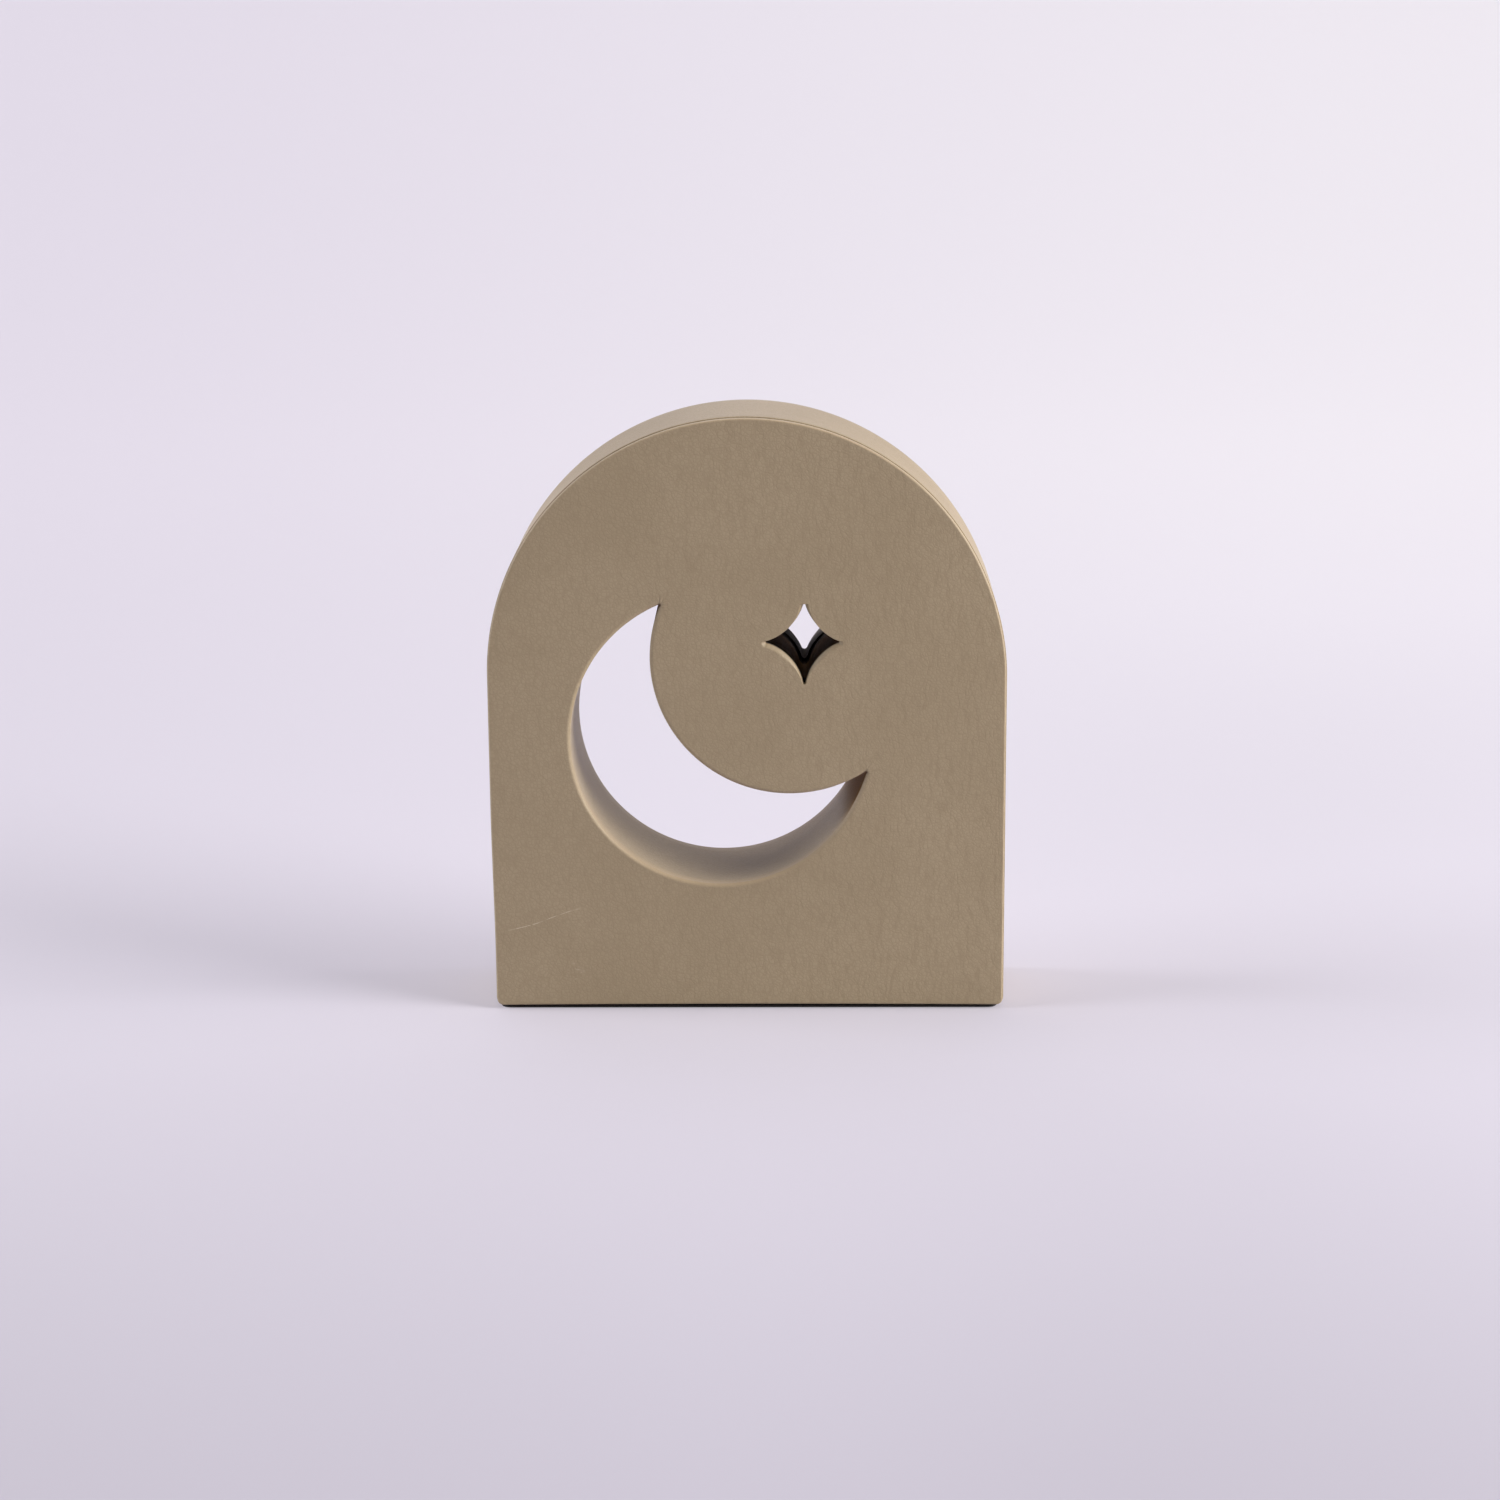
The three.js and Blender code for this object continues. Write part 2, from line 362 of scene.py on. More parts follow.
def makeCover(name, face, starShape):
    bm = newSkin()
    borders = [
        (archOutline(), rimSteps(face, -1, rims["arch"])),
        (sum(crescentWalls(), []), rimSteps(face, 1, rims["crescent"])),
        (starOutline(starShape), rimSteps(face, 1, rims["star"])),
    ]
    lines = [traceLine(bm, outline) for outline, _ in borders]
    shiftSides(bm, lines[0], block["coverSides"])
    pullStar(bm, lines[-1], starShape)
    skins = [extrudeSkin(bm, line, steps) for line, (_, steps) in zip(lines, borders)]
    flareStar(bm, face, starShape)
    for end in (0, -1):
        bmesh.ops.triangle_fill(bm, use_beauty=True, edges=[edge for rings in skins for edge in rings[end]])
    for tip in crescentTips():
        pucker(bm, face, tip, openingBeside(tip))
    return finishPiece(name, bm)


# moves the block's left and right side outwards, up to where the arch curves in
def shiftSides(bm, line, sides):
    for vert in {v for e in line for v in e.verts}:
        share = eased(vert.co.z, block["sidesFrom"], block["sidesTo"])
        share *= eased(abs(vert.co.x), *block["middle"])
        vert.co.x += share * (sides[1] if vert.co.x > 0 else -sides[0])


# how far across and above the star's centre a place is, as shares of the star's reach
def starPlace(place, shape):
    return (place.x - star["centre"][0]) / shape["reach"], (place.z - star["centre"][1]) / shape["reach"]


# brings in the star's points, and tightens the leatherette along its upper edges and at its lowest point
def pullStar(bm, line, shape):
    outwards = bm.verts.layers.float_vector["outwards"]
    for vert in {v for e in line for v in e.verts}:
        across, above = starPlace(vert.co, shape)
        vert.co.x -= shape["reach"] * across * abs(across) * shape["right" if across > 0 else "left"]
        vert.co.z -= shape["reach"] * max(0, above) ** 2 * shape["up"]
        upper = star["tight"] * min(1, max(0, star["tightSteepness"] * vert[outwards].z))
        tight = max(upper, star["tightFoot"] * eased(-above, *star["tightFootReach"]))
        vert[outwards] = vert[outwards] * (1 - tight)


# widens the turned-in leatherette inwards, until its points meet those in the boards
def flareStar(bm, face, shape):
    half, rim = block["halfDepth"], rims["star"]
    short = star["boardReach"] - shape["reach"]
    for vert in bm.verts:
        if (Vector((vert.co.x, vert.co.z)) - Vector(star["centre"])).length > star["flareReach"]:
            continue
        share = eased(half - face * vert.co.y, rim["thins"], rim["turned"])
        across, above = starPlace(vert.co, shape)
        aside = shape["reach"] * shape["right" if across > 0 else "left"]
        up = shape["reach"] * shape["up"] * (above > 0)
        vert.co.x += share * across * abs(across) ** 3 * (short + aside)
        vert.co.z += share * above * abs(above) ** 3 * (short + up)


puckers = {
    "waves": 13,
    "uneven": 1.6,  # how far a wave strays from its even place
    "unevenTurns": 3,
    "height": 0.15,
    "from": 0.7,
    "reach": 3.2,
    "fan": 70,
    "fanEdge": 4,  # the higher, the more suddenly the fan ends
    "lumps": 0.7,
    "lowest": 0.1,
    "usual": 0.6,
    "swell": 1.2,
}


# small gathers that fan out from a tip, where the leatherette is slit and turned in
def pucker(bm, face, tip, towards):
    for vert in bm.verts:
        away = Vector((vert.co.x, vert.co.z)) - tip
        reach = (away.length - puckers["from"]) / puckers["reach"]
        behind = block["halfDepth"] - vert.co.y * face
        if behind > leather["skin"] or not 0 < reach < 1:
            continue
        angle = away.angle_signed(-towards)
        fan = max(0, 1 - (angle / math.radians(puckers["fan"])) ** puckers["fanEdge"])
        swell = puckers["usual"] + puckers["swell"] * noise.noise(vert.co * puckers["lumps"])
        fade = math.sin(math.pi * reach**0.5) * fan * max(puckers["lowest"], swell)
        turned = puckers["unevenTurns"] * angle
        stray = puckers["uneven"] * noise.noise(Vector((turned, tip.x, tip.y)))
        vert.co.y += face * puckers["height"] * fade * math.cos(puckers["waves"] * angle + stray)


# the direction in which the crescent widens from one of its tips
def openingBeside(tip):
    outer, inner = Vector(crescent["outer"]["centre"]), Vector(crescent["inner"]["centre"])
    alongOuter = (tip - outer).normalized().orthogonal()
    alongInner = (tip - inner).normalized().orthogonal()
    low = (outer + inner) / 2 + (outer - inner).normalized() * outer.length
    ways = [way * (1 if way.dot(low - tip) > 0 else -1) for way in (alongOuter, alongInner)]
    return (ways[0] + ways[1]).normalized()


# a strip with a front and a back edge, from its outer surface to its glued side
def makeStrip(name, line, side, reach, rim):
    bm = newSkin()
    cutRound, slack = rim["cutRound"], rim["slack"]
    frontEdge = [[side * leather["thickness"], -reach, slack, 0]]
    for i in range(leather["cutSteps"] + 1):
        angle = math.radians(90 * i / leather["cutSteps"])
        out, behind = cutRound * (1 - math.sin(angle)), cutRound * (1 - math.cos(angle))
        frontEdge.append([side * out, -reach + behind, slack, min(0, -side)])
    frontEdge.append([0, -reach + leather["wornReach"], slack / 2, 0])
    backEdge = [[out, -y, slack, rubbedAndLit * leather["backWorn"]] for out, y, slack, rubbedAndLit in reversed(frontEdge)]
    steps = [*frontEdge, [0, 0, 0, 0], *backEdge]
    traced = traceLine(bm, line, closed=False)
    if side < 0:
        shiftSides(bm, traced, block["bandSides"])
    rings = extrudeSkin(bm, traced, steps)
    bmesh.ops.bridge_loops(bm, edges=rings[0] + rings[-1])
    bmesh.ops.holes_fill(bm, edges=[e for e in bm.edges if e.is_boundary])
    return finishPiece(name, bm)


# the bottom and the left side of the block aren't quite straight, and the crescent's lower tip is drawn out
def settle(bm):
    reach = block["halfWidth"] - block["corner"]
    _, lowerTip = crescentTips()
    for vert in bm.verts:
        near = 1 - eased((Vector((vert.co.x, vert.co.z)) - lowerTip).length, 0, crescent["pullReach"])
        vert.co += near * Vector((crescent["pull"][0], 0, crescent["pull"][1]))
        across = max(0, 1 - (vert.co.x / reach) ** 2)
        above = max(0, 1 - (vert.co.z - block["bottom"]) / block["bowReach"])
        vert.co.z += block["bow"] * across * above
        left = 0.5 - 0.5 * vert.co.x / block["halfWidth"]
        vert.co.x += block["lean"] * left * eased(vert.co.z, block["leanFrom"], block["leanTo"])


def finishPiece(name, bm):
    settle(bm)
    bmesh.ops.dissolve_degenerate(bm, dist=tolerance["sliver"], edges=bm.edges)
    bmesh.ops.recalc_face_normals(bm, faces=bm.faces)
    bmesh.ops.scale(bm, vec=(mm, mm, mm), verts=bm.verts)
    mesh = bpy.data.meshes.new(name)
    bm.to_mesh(mesh)
    bm.free()
    mesh.shade_smooth()
    mesh.set_sharp_from_angle(angle=math.radians(leather["smoothAngle"]))
    piece = bpy.data.objects.new(name, mesh)
    bpy.context.scene.collection.objects.link(piece)
    print("made", name, "with", len(mesh.polygons), "faces")
    return piece


bandReach = block["halfDepth"] - rims["arch"]["turned"] - leather["seamGap"]
liningReach = block["halfDepth"] - rims["crescent"]["turned"] - leather["liningGap"]
longWall, shortWall = crescentWalls()
coverings = {
    "front_cover": makeCover("front_leather", -1, star["front"]),
    "back_cover": makeCover("back_leather", 1, star["back"]),
    "side_band": makeStrip("band_leather", bandLine(leather["seamGap"]), -1, bandReach, rims["arch"]),
    "crescent_lining_outer": makeStrip("long_lining", longWall, 1, liningReach, rims["crescent"]),
    "crescent_lining_inner": makeStrip("short_lining", shortWall, 1, liningReach, rims["crescent"]),
}

# felt under the base
pad = {
    "corner": 3,
    "cornerSteps": 6,
    "edge": 0.25,
    "edgeSteps": 2,
    "fibre": 0.3,
    "fibreRise": 0.2,  # its width as a share of its length
    "fibreShake": (3, 3),
    "toneLevels": (0.8, 1.25),
    "roughLevels": (0.7, 1.3),
    "depth": 0.12,
    "darkTone": srgb(24, 22, 21),
    "paleTone": srgb(52, 49, 47),
    "roughness": (0.9, 1),
}


def makePad(name):
    low, high = (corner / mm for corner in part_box("base_pad"))
    bm = bmesh.new()
    bmesh.ops.create_cube(bm, size=1)
    bmesh.ops.scale(bm, vec=high - low, verts=bm.verts)
    bmesh.ops.translate(bm, vec=(low + high) / 2, verts=bm.verts)
    upright = [e for e in bm.edges if abs(e.verts[0].co.z - e.verts[1].co.z) > pad["edge"]]
    bmesh.ops.bevel(bm, geom=upright, affect="EDGES", offset=pad["corner"], segments=pad["cornerSteps"],
                    profile=0.5, material=-1)
    flat = [e for e in bm.edges if abs(e.verts[0].co.z - e.verts[1].co.z) < tolerance["gap"]]
    bmesh.ops.bevel(bm, geom=flat, affect="EDGES", offset=pad["edge"], segments=pad["edgeSteps"],
                    profile=0.5, material=-1)
    return finishPiece(name, bm)


felt = makePad("felt_pad")


# a shader socket that can be used in sums
class Signal:
    def __init__(self, shader, socket):
        self.shader = shader
        self.socket = socket

    def __getitem__(self, output):
        return Signal(self.shader, self.socket.node.outputs[output])

    def maths(self, operation, first, second):
        return self.shader.node("ShaderNodeMath", {"operation": operation}, {0: first, 1: second})

    def __add__(self, other):
        return self.maths("ADD", self, other)

    def __radd__(self, other):
        return self.maths("ADD", other, self)

    def __sub__(self, other):
        return self.maths("SUBTRACT", self, other)

    def __rsub__(self, other):
        return self.maths("SUBTRACT", other, self)

    def __mul__(self, other):
        return self.maths("MULTIPLY", self, other)

    def __rmul__(self, other):
        return self.maths("MULTIPLY", other, self)

    def __truediv__(self, other):
        return self.maths("DIVIDE", self, other)

    def __abs__(self):
        return self.maths("ABSOLUTE", self, 0)


# builds the nodes of a material or of the world
class Shader:
    def __init__(self, owner):
        self.owner = owner
        owner.use_nodes = True
        self.tree = owner.node_tree
        self.tree.nodes.clear()

    def node(self, kind, settings, inputs, output=0):
        made = self.tree.nodes.new(kind)
        for name, value in settings.items():
            setattr(made, name, value)
        for name, value in inputs.items():
            if isinstance(value, Signal):
                self.tree.links.new(value.socket, made.inputs[name])
            else:
                made.inputs[name].default_value = value
        return Signal(self, made.outputs[output]) if made.outputs else None

    def place(self):
        return self.node("ShaderNodeTexCoord", {}, {}, "Object")

    # a vector whose "X", "Y" and "Z" can be taken
    def split(self, vector):
        return self.node("ShaderNodeSeparateXYZ", {}, {0: vector})

    def stretched(self, vector, scale):
        return self.node("ShaderNodeMapping", {}, {"Vector": vector, "Scale": scale})

    def combined(self, operation, first, second, output=0):
        return self.node("ShaderNodeVectorMath", {"operation": operation}, {0: first, 1: second}, output)

    # a place that noise pushes about; the shake gives the noise's size and the length of the push
    def shaken(self, vector, shake):
        size, length = (value * mm for value in shake)
        push = self.noise(vector, size, detail=1)["Color"]
        return self.combined("ADD", vector, self.combined("MULTIPLY", push, (length, length, length)))

    # noise with features of the given size
    def noise(self, vector, size, detail=2):
        return self.node("ShaderNodeTexNoise", {}, {"Vector": vector, "Scale": 1 / size, "Detail": detail})

    # distance to the nearest border of cells of the given size, as a share of that size
    def cells(self, vector, size):
        return self.node("ShaderNodeTexVoronoi", {"feature": "DISTANCE_TO_EDGE"},
                         {"Vector": vector, "Scale": 1 / size})

    def ramp(self, value, low, high, start=0, end=1):
        return self.node("ShaderNodeMapRange", {"interpolation_type": "SMOOTHSTEP"},
                         {"Value": value, "From Min": low, "From Max": high, "To Min": start, "To Max": end})

    def fade(self, value, low, high):
        return self.ramp(value, low, high, start=1, end=0)

    def mix(self, share, first, second):
        return self.node("ShaderNodeMix", {"data_type": "RGBA"}, {0: share, 6: first, 7: second}, 2)

    def bump(self, height, depth):
        return self.node("ShaderNodeBump", {}, {"Strength": 1, "Distance": depth, "Height": height})

    def finish(self, surface, kind="Material"):
        self.node("ShaderNodeOutput" + kind, {}, {"Surface": surface})
        return self.owner

    def principled(self, inputs):
        return self.finish(self.node("ShaderNodeBsdfPrincipled", {}, inputs))


# a shake is the size of a noise and how far it pushes a pattern about
# levels are the values of a noise between which something comes up
grain = {
    "pebble": 1.25,
    "pebbleShake": (2, 0.9),
    "pebbleEdge": 0.22,  # width of the groove round a pebble, as a share of the pebble
    "wrinkle": 4.2,
    "wrinkleShake": (6, 4),
    "wrinkleEdge": 0.09,
    "tooth": 0.35,
    "toothLevels": (0.3, 0.7),
    "streak": 1.3,
    "streakShake": (9, 5),
    "streakLevels": (0.45, 0.7),
    "streakRise": 0.16,  # its width as a share of its height
    "streakFrom": -60,  # the streaks grow stronger from here to the right, partly as painted light
    "streakTo": 60,
    "streakLeft": 0.5,
    "streakTint": 0.35,
    "creaseTint": 0.35,
    "patch": 35,
    "patchLevels": (0.35, 0.65),
    "wornLevels": (0.2, 0.8),  # the rubbed and lit tone varies with the patches
    "leastWorn": 0.7,
    "relief": (0.55, 0.3, 0.25, -0.4),  # shares of the pebbles, wrinkles, tooth and streaks in the depth
    "depth": 0.05,
    "tone": srgb(162, 145, 116),
    "paleTone": srgb(167, 150, 121),
    "creaseTone": srgb(147, 130, 102),
    # a paler tone on rubbed rims, which stands for wear and for a painted highlight where they face up
    "wornTone": srgb(182, 161, 132),
    "roughness": (0.45, 0.55),
    "gloss": 0.45,
    "sheen": 0.06,  # a dusty bloom at glancing angles
    "sheenSpread": 0.4,
    "sheenTone": srgb(250, 244, 255),
}
# painted shade in the crescent's narrow tips, their slits and the back of its long wall, and in the star the
# char's black and brown with a painted grey sheen towards the back
charAndPaintedLight = {
    "dullness": 0.45,
    # painted shade: brown in the crescent's narrow tips, behind the rim
    "tipTone": srgb(128, 90, 24),
    "upperReach": (6, 20),
    "lowerReach": (7, 22),
    "slitReach": (0.25, 0.8),
    # painted shade, darker still at the very points of the tips
    "slitTone": srgb(96, 66, 30),
    "dustTone": srgb(112, 94, 78),  # painted shade on the back half of the long wall, towards its lower end
    "dust": 0.6,
    "dustReach": (30, 75),
    "dustFrom": -4,
    "dustTo": 20,
    "starReach": (18, 19),
    "behind": (0.9, 1.7),  # it starts and is full this far behind a face
    "mottle": 1.4,
    "blackTone": srgb(26, 17, 8),
    "brownTone": srgb(52, 36, 17),
    "deepTone": srgb(122, 90, 48),
    "deepFrom": 14,
    "deepTo": 9,
    # a painted grey sheen, a reflection of the light from behind
    "ashTone": srgb(165, 160, 152),
    "ashFrom": 19,
    "ashTo": 34,
    "ashAcross": 1.6,  # how much further in the painted sheen lies on the right walls than on the left ones
}
scratch = {
    "from": (-80.9, 26.9),
    "to": (-52.3, 36.2),
    "width": 0.4,
    "edge": 0.3,  # it fades across its width from this share outwards
    "end": 0.7,  # and likewise along its length
    "drift": 3,
    "driftLength": 16,
    "break": 2.4,
    "breakLevels": (0.38, 0.56),
    "strength": 0.8,
    "tone": srgb(204, 188, 164),
}
scuff = {
    "centre": (-57.7, 13),
    "reach": (1.5, 4.2),
    "fleck": 0.9,
    "fleckLevels": (0.55, 0.68),
    "fleckShake": (3, 3),
    "fleckRise": 0.4,  # its height as a share of its width
    "strength": 0.45,
    "tone": srgb(196, 178, 156),
}


# embossed leatherette: small pebbles, longer wrinkles across them, a fine tooth and faint upright streaks
def leatherFinish():
    shader = Shader(bpy.data.materials.new("leatherette"))
    place = shader.place()
    pebble = shader.cells(shader.shaken(place, grain["pebbleShake"]), grain["pebble"] * mm)
    pebble = shader.ramp(pebble, 0, grain["pebbleEdge"])
    wrinkle = shader.cells(shader.shaken(place, grain["wrinkleShake"]), grain["wrinkle"] * mm)
    wrinkle = shader.ramp(wrinkle, 0, grain["wrinkleEdge"])
    tooth = shader.noise(place, grain["tooth"] * mm, detail=3)
    patches = shader.noise(place, grain["patch"] * mm, detail=3)
    upright = shader.stretched(shader.shaken(place, grain["streakShake"]), (1, 1, grain["streakRise"]))
    streaks = shader.ramp(shader.noise(upright, grain["streak"] * mm, detail=1), *grain["streakLevels"])
    # stronger towards the right: partly painted light
    streaks = streaks * streakStrength(shader, place)
    rises = zip((pebble, wrinkle, tooth, streaks), grain["relief"])
    height = sum(signal * share for signal, share in rises)
    bump = shader.bump(height, grain["depth"] * mm)
    tone = shader.mix(shader.ramp(patches, *grain["patchLevels"]), grain["tone"], grain["paleTone"])
    tone = shader.mix((1 - pebble * wrinkle) * grain["creaseTint"], tone, grain["creaseTone"])
    tone = shader.mix(streaks * grain["streakTint"], tone, grain["creaseTone"])
    # the rims' paler tone: wear, and a painted highlight where they face up
    rubbedAndLit = shader.node("ShaderNodeAttribute", {"attribute_name": "rubbedAndLit"}, {}, "Fac")
    rubbedAndLit = rubbedAndLit * shader.ramp(patches, *grain["wornLevels"], grain["leastWorn"])
    tone = shader.mix(rubbedAndLit, tone, grain["wornTone"])
    tone = shader.mix(scratchMask(shader, place), tone, scratch["tone"])
    tone = shader.mix(scuffMask(shader, place), tone, scuff["tone"])
    # painted shade in the crescent's tips and slits, and the char round the star
    shadedTips, shadedSlits, charredStar = shadeAndCharMasks(shader, place)
    # painted shade towards the back of the crescent's lower end
    tone = shader.mix(rearShadeMask(shader, place), tone, charAndPaintedLight["dustTone"])
    tone = shader.mix(shadedTips, tone, charAndPaintedLight["tipTone"])
    tone = shader.mix(shadedSlits, tone, charAndPaintedLight["slitTone"])
    # the char round the star, with a painted grey sheen towards the back
    tone = shader.mix(charredStar, tone, starCharAndSheen(shader, place))
    roughness = shader.ramp(tooth, *grain["toothLevels"], *grain["roughness"])
    roughness = roughness + (shadedTips + charredStar) * charAndPaintedLight["dullness"]
    return shader.principled({"Base Color": tone, "Roughness": roughness, "Normal": bump,
                              "Specular IOR Level": grain["gloss"], "Sheen Weight": grain["sheen"],
                              "Sheen Roughness": grain["sheenSpread"], "Sheen Tint": grain["sheenTone"]})


# painted shade behind the rim in the narrow ends of the crescent, darker still where they are slit, and the
# char all round the star
def shadeAndCharMasks(shader, place):
    depth = abs(shader.split(place)["Y"])
    start, full = ((block["halfDepth"] - behind) * mm for behind in charAndPaintedLight["behind"])
    behindRim = shader.fade(depth, full, start)
    upperTip, lowerTip = crescentTips()
    upper = nearness(shader, place, upperTip, charAndPaintedLight["upperReach"])
    lower = nearness(shader, place, lowerTip, charAndPaintedLight["lowerReach"])
    upperSlit = nearness(shader, place, upperTip, charAndPaintedLight["slitReach"])
    lowerSlit = nearness(shader, place, lowerTip + Vector(crescent["pull"]), charAndPaintedLight["slitReach"])
    aroundStar = nearness(shader, place, star["centre"], charAndPaintedLight["starReach"])
    return (upper + lower) * behindRim, upperSlit + lowerSlit, aroundStar * behindRim


# painted shade in the lower end of the crescent, growing towards the back of the long wall
def rearShadeMask(shader, place):
    _, lowerTip = crescentTips()
    depth = shader.split(place)["Y"]
    behind = shader.ramp(depth, charAndPaintedLight["dustFrom"] * mm, charAndPaintedLight["dustTo"] * mm)
    inside = shader.fade(depth, (block["halfDepth"] - leather["thickness"]) * mm, block["halfDepth"] * mm)
    return nearness(shader, place, lowerTip, charAndPaintedLight["dustReach"]) * behind * inside * charAndPaintedLight["dust"]


# black near both faces, brown in the middle, and a painted grey sheen on the right towards the back
def starCharAndSheen(shader, place):
    parts = shader.split(place)
    mottle = shader.noise(place, charAndPaintedLight["mottle"] * mm, detail=3)
    char = shader.mix(mottle, charAndPaintedLight["blackTone"], charAndPaintedLight["brownTone"])
    outer = shader.ramp(abs(parts["Y"]), charAndPaintedLight["deepTo"] * mm, charAndPaintedLight["deepFrom"] * mm)
    char = shader.mix(outer, charAndPaintedLight["deepTone"], char)
    inwards = parts["Y"] + (parts["X"] - star["centre"][0] * mm) * charAndPaintedLight["ashAcross"]
    paintedSheen = shader.ramp(inwards, charAndPaintedLight["ashFrom"] * mm, charAndPaintedLight["ashTo"] * mm)
    return shader.mix(paintedSheen, char, charAndPaintedLight["ashTone"])


# 1 within the first reach of a spot's axis, and 0 beyond the second
def nearness(shader, place, spot, reaches):
    flat = shader.combined("MULTIPLY", place, (1, 0, 1))
    away = shader.combined("DISTANCE", flat, Vector((spot[0], 0, spot[1])) * mm, "Value")
    return shader.fade(away, *[reach * mm for reach in reaches])


# a faint broken line across the lower left of the front face
def scratchMask(shader, place):
    start, end = (Vector((x, -block["halfDepth"], z)) * mm for x, z in (scratch["from"], scratch["to"]))
    slope = math.atan2(end.z - start.z, end.x - start.x)
    moved = shader.combined("SUBTRACT", place, (start + end) / 2)
    turned = shader.node("ShaderNodeVectorRotate", {"rotation_type": "Y_AXIS"},
                         {"Vector": moved, "Angle": slope})
    parts = shader.split(turned)
    drift = (shader.noise(place, scratch["driftLength"] * mm, detail=1) - 0.5) * scratch["drift"] * mm
    half, reach = scratch["width"] * mm / 2, (end - start).length / 2
    line = shader.fade(abs(parts["Z"] + drift), half * scratch["edge"], half)
    inside = shader.fade(abs(parts["X"]), reach * scratch["end"], reach)
    front = shader.fade(parts["Y"], 0, mm)
    broken = shader.ramp(shader.noise(place, scratch["break"] * mm), *scratch["breakLevels"])
    return line * inside * front * broken * scratch["strength"]


# a small patch of pale flecks above the lower left corner of the front face
def scuffMask(shader, place):
    near = nearness(shader, place, scuff["centre"], scuff["reach"])
    front = shader.fade(shader.split(place)["Y"], 0, mm)
    lying = shader.stretched(shader.shaken(place, scuff["fleckShake"]), (scuff["fleckRise"], 1, 1))
    flecks = shader.ramp(shader.noise(lying, scuff["fleck"] * mm, detail=1), *scuff["fleckLevels"])
    return flecks * near * front * scuff["strength"]


# the upright streaks are made stronger on the right, in relief and in their darker tone; the tone part is
# painted light from the right
def streakStrength(shader, place):
    start, full = grain["streakFrom"] * mm, grain["streakTo"] * mm
    return shader.ramp(shader.split(place)["X"], start, full, grain["streakLeft"], 1)


board = {
    "fibre": 0.7,
    "fibreLevels": (0.3, 0.7),
    "fibreRelief": 0.4,
    "layer": 1.1,
    "layerPress": 8,  # how many times as wide as it is thick
    "depth": 0.05,
    "darkTone": srgb(150, 116, 82),
    "paleTone": srgb(186, 152, 112),
    "burntReach": (16.5, 18.5),
    "glueTone": srgb(46, 38, 30),
    "glueReach": (2, 1.3),  # measured inwards from the block's sides
    "roughness": (0.75, 0.95),
    "gloss": 0.08,
}


# fibreboard, charred where the star was cut, with the star's painted grey sheen, and darker along its left
# and right sides
def boardFinish():
    shader = Shader(bpy.data.materials.new("fibreboard"))
    place = shader.place()
    fibres = shader.noise(place, board["fibre"] * mm, detail=4)
    tone = shader.mix(fibres, board["darkTone"], board["paleTone"])
    burnt = nearness(shader, place, star["centre"], board["burntReach"])
    # the char round the star, with a painted grey sheen towards the back
    tone = shader.mix(burnt, tone, starCharAndSheen(shader, place))
    sideDarkFrom, sideDarkTo = ((block["halfWidth"] - inset) * mm for inset in board["glueReach"])
    tone = shader.mix(shader.ramp(abs(shader.split(place)["X"]), sideDarkFrom, sideDarkTo), tone, board["glueTone"])
    pressed = shader.stretched(place, (1, board["layerPress"], 1))
    layers = shader.noise(pressed, board["layer"] * mm, detail=3)
    bump = shader.bump(layers + fibres * board["fibreRelief"], board["depth"] * mm)
    roughness = shader.ramp(fibres, *board["fibreLevels"], *board["roughness"])
    return shader.principled({"Base Color": tone, "Roughness": roughness, "Normal": bump,
                              "Specular IOR Level": board["gloss"]})


dowel = {
    "streak": 0.8,
    "streakLevels": (0.3, 0.7),
    "streakRise": 0.06,  # its width as a share of its length
    "fleck": 0.33,
    "fleckLevels": (0.58, 0.66),
    "fleckTint": 0.5,
    "depth": 0.02,
    "darkTone": srgb(196, 160, 116),
    "paleTone": srgb(222, 190, 148),
    "fleckTone": srgb(160, 118, 80),
    "roughness": (0.62, 0.74),
}


# beech, with the grain along Y
def dowelFinish():
    shader = Shader(bpy.data.materials.new("beech"))
    along = shader.stretched(shader.place(), (1, dowel["streakRise"], 1))
    streaks = shader.noise(along, dowel["streak"] * mm, detail=4)
    flecks = shader.ramp(shader.noise(along, dowel["fleck"] * mm), *dowel["fleckLevels"])
    tone = shader.mix(streaks, dowel["darkTone"], dowel["paleTone"])
    tone = shader.mix(flecks * dowel["fleckTint"], tone, dowel["fleckTone"])
    roughness = shader.ramp(streaks, *dowel["streakLevels"], *dowel["roughness"])
    bump = shader.bump(streaks, dowel["depth"] * mm)
    return shader.principled({"Base Color": tone, "Roughness": roughness, "Normal": bump})


# needled felt: a mat of short crossing fibres
def feltFinish():
    shader = Shader(bpy.data.materials.new("felt"))
    shaken = shader.shaken(shader.place(), pad["fibreShake"])
    fibres = shader.noise(shader.stretched(shaken, (1, pad["fibreRise"], 1)), pad["fibre"] * mm)
    fibres = fibres + shader.noise(shader.stretched(shaken, (pad["fibreRise"], 1, 1)), pad["fibre"] * mm)
    tone = shader.mix(shader.ramp(fibres, *pad["toneLevels"]), pad["darkTone"], pad["paleTone"])
    roughness = shader.ramp(fibres, *pad["roughLevels"], *pad["roughness"])
    return shader.principled({"Base Color": tone, "Roughness": roughness,
                              "Normal": shader.bump(fibres, pad["depth"] * mm)})


def dress(piece, material):
    piece.data.materials.clear()
    piece.data.materials.append(material)


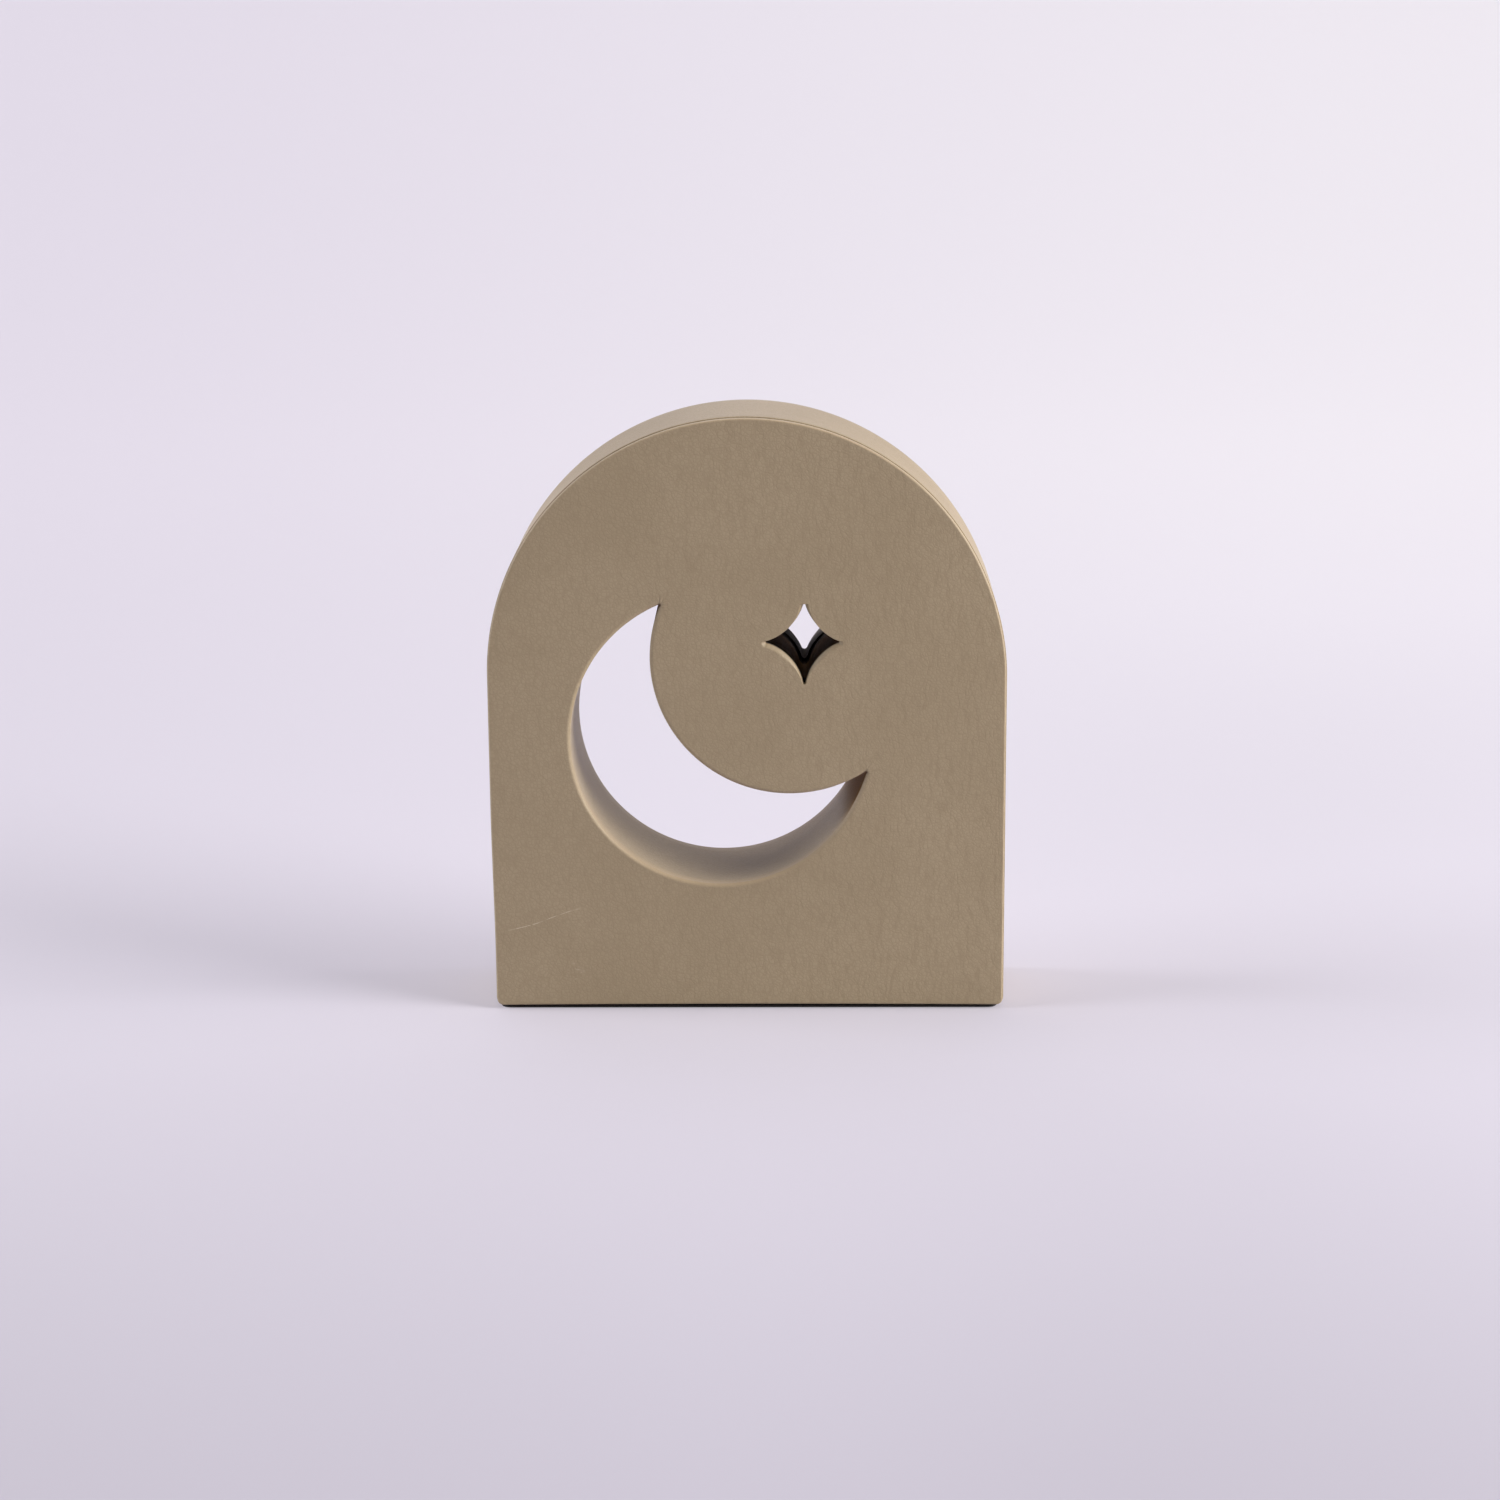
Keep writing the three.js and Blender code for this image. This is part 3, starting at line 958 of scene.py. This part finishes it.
leatherMaterial = leatherFinish()
for node, piece in coverings.items():
    dress(piece, leatherMaterial)
    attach(piece, "root")
    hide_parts(node)
dress(felt, feltFinish())
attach(felt, "root")
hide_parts("base_pad")
boardMaterial, dowelMaterial = boardFinish(), dowelFinish()
for name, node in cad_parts.items():
    if name.startswith("core_board"):
        dress(node, boardMaterial)
    if name.startswith("dowel"):
        dress(node, dowelMaterial)
print("materials made")


# studio: a wide pale floor that runs into the background, brighter behind the ornament than before it; its
# tones hold painted light and shade, darker in front and near the right and brighter far off to the right
# places on the floor are metres behind the ornament, and aside is the distance to the right as a share of
# the distance from the viewer
studio = {
    "floorReach": 60,
    "floorSides": 96,
    "viewer": 1,  # about how far away the viewer stands
    "farAside": (-0.3, 0.25),
    "farFrom": (-0.3, 1.4),
    "nearTo": (-0.55, 0.05),
    "tone": srgb(221, 216, 227),
    "nearTone": srgb(194, 189, 200),
    "farLeftTone": srgb(232, 226, 237),
    "farRightTone": srgb(246, 242, 247),
    "rightShade": 0.07,  # how much darker the floor is near the right
    "rightAside": (-0.02, 0.2),
    "rightFrom": (-0.8, -0.45),
    "rightTo": (0.2, 0.75),
    "glow": 0.3,  # share of the floor's tone that shadows don't reach
    "matt": 0.9,  # how much of its tone the floor gives back as light
    "background": srgb(229, 224, 235),
    "frontLight": 0,
    "backLight": 0.85,
    "lightTurn": (-0.6, 0.6),  # the light changes from front to back between these
}
lamps = {
    "right": {"bearing": 12, "height": 20, "spread": 45, "strength": 2.75, "tone": (1, 0.98, 0.97)},
    "left": {"bearing": 178, "height": 22, "spread": 38, "strength": 2.72, "tone": (0.98, 0.98, 1)},
    "behind": {"bearing": 252, "height": 60, "spread": 36, "strength": 0.24, "tone": (1, 1, 1)},
}
softbox = {"bearing": 20, "height": 20, "away": 1100, "width": 650, "strength": 2.15, "tone": (1, 0.98, 0.97)}


def makeFloor():
    bm = bmesh.new()
    bmesh.ops.create_circle(bm, cap_ends=True, segments=studio["floorSides"], radius=studio["floorReach"])
    mesh = bpy.data.meshes.new("floor")
    bm.to_mesh(mesh)
    bm.free()
    floor = bpy.data.objects.new("floor", mesh)
    bpy.context.scene.collection.objects.link(floor)
    shader = Shader(bpy.data.materials.new("floor"))
    parts = shader.split(shader.place())
    behind = parts["Y"]
    aside = parts["X"] / (behind + studio["viewer"])
    # painted light: the far floor is brighter towards the right
    far = shader.mix(shader.ramp(aside, *studio["farAside"]), studio["farLeftTone"], studio["farRightTone"])
    tone = shader.mix(shader.ramp(behind, *studio["farFrom"]), studio["tone"], far)
    # painted shade: darker in front of the ornament
    tone = shader.mix(shader.ramp(behind, *studio["nearTo"]), studio["nearTone"], tone)
    nearby = shader.ramp(behind, *studio["rightFrom"]) * shader.fade(behind, *studio["rightTo"])
    nearRight = shader.ramp(aside, *studio["rightAside"]) * nearby
    tone = shader.mix(nearRight * studio["rightShade"], tone, (0, 0, 0, 1))
    matt = shader.node("ShaderNodeBsdfDiffuse", {}, {"Color": shader.mix(studio["matt"], (0, 0, 0, 1), tone)})
    glow = shader.node("ShaderNodeEmission", {}, {"Color": tone})
    seen = shader.node("ShaderNodeLightPath", {}, {}, "Is Camera Ray")
    mixed = shader.node("ShaderNodeMixShader", {}, {0: seen * studio["glow"], 1: matt, 2: glow})
    dress(floor, shader.finish(mixed))


# a far lamp as wide as its spread; its bearing is from +X towards the viewer
def makeLamp(name, lamp):
    light = bpy.data.lights.new(name, "SUN")
    light.energy = lamp["strength"]
    light.angle = math.radians(lamp["spread"])
    hangLamp(light, lamp)


# a near lamp, whose light falls off across the ornament
def makeSoftbox():
    light = bpy.data.lights.new("softbox", "AREA")
    light.shape = "DISK"
    light.size = softbox["width"] * mm
    light.energy = softbox["strength"] * math.pi * (softbox["away"] * mm) ** 2
    hangLamp(light, softbox, softbox["away"] * mm).visible_camera = False


def hangLamp(light, lamp, away=0):
    light.color = lamp["tone"]
    placed = bpy.data.objects.new(light.name, light)
    bearing, height = math.radians(-lamp["bearing"]), math.radians(lamp["height"])
    level = Vector((math.cos(bearing), math.sin(bearing), 0))
    towards = level * math.cos(height) + Vector((0, 0, math.sin(height)))
    turned = towards.to_track_quat("Z", "Y").to_matrix().to_4x4()
    centre = Vector((0, 0, block["top"] / 2)) * mm
    placed.matrix_world = Matrix.Translation(centre + towards * away) @ turned
    bpy.context.scene.collection.objects.link(placed)
    return placed


def makeWorld():
    shader = Shader(bpy.data.worlds.new("studio"))
    direction = shader.node("ShaderNodeTexCoord", {}, {}, "Generated")
    behind = shader.split(direction)["Y"]
    light = shader.ramp(behind, *studio["lightTurn"], studio["frontLight"], studio["backLight"])
    seen = shader.node("ShaderNodeLightPath", {}, {}, "Is Camera Ray")
    strength = seen + (1 - seen) * light
    sky = shader.node("ShaderNodeBackground", {}, {"Color": studio["background"], "Strength": strength})
    bpy.context.scene.world = shader.finish(sky, "World")


makeFloor()
for name, lamp in lamps.items():
    makeLamp(name, lamp)
makeSoftbox()
makeWorld()
bpy.context.scene.view_settings.view_transform = "Standard"
print("studio lit")
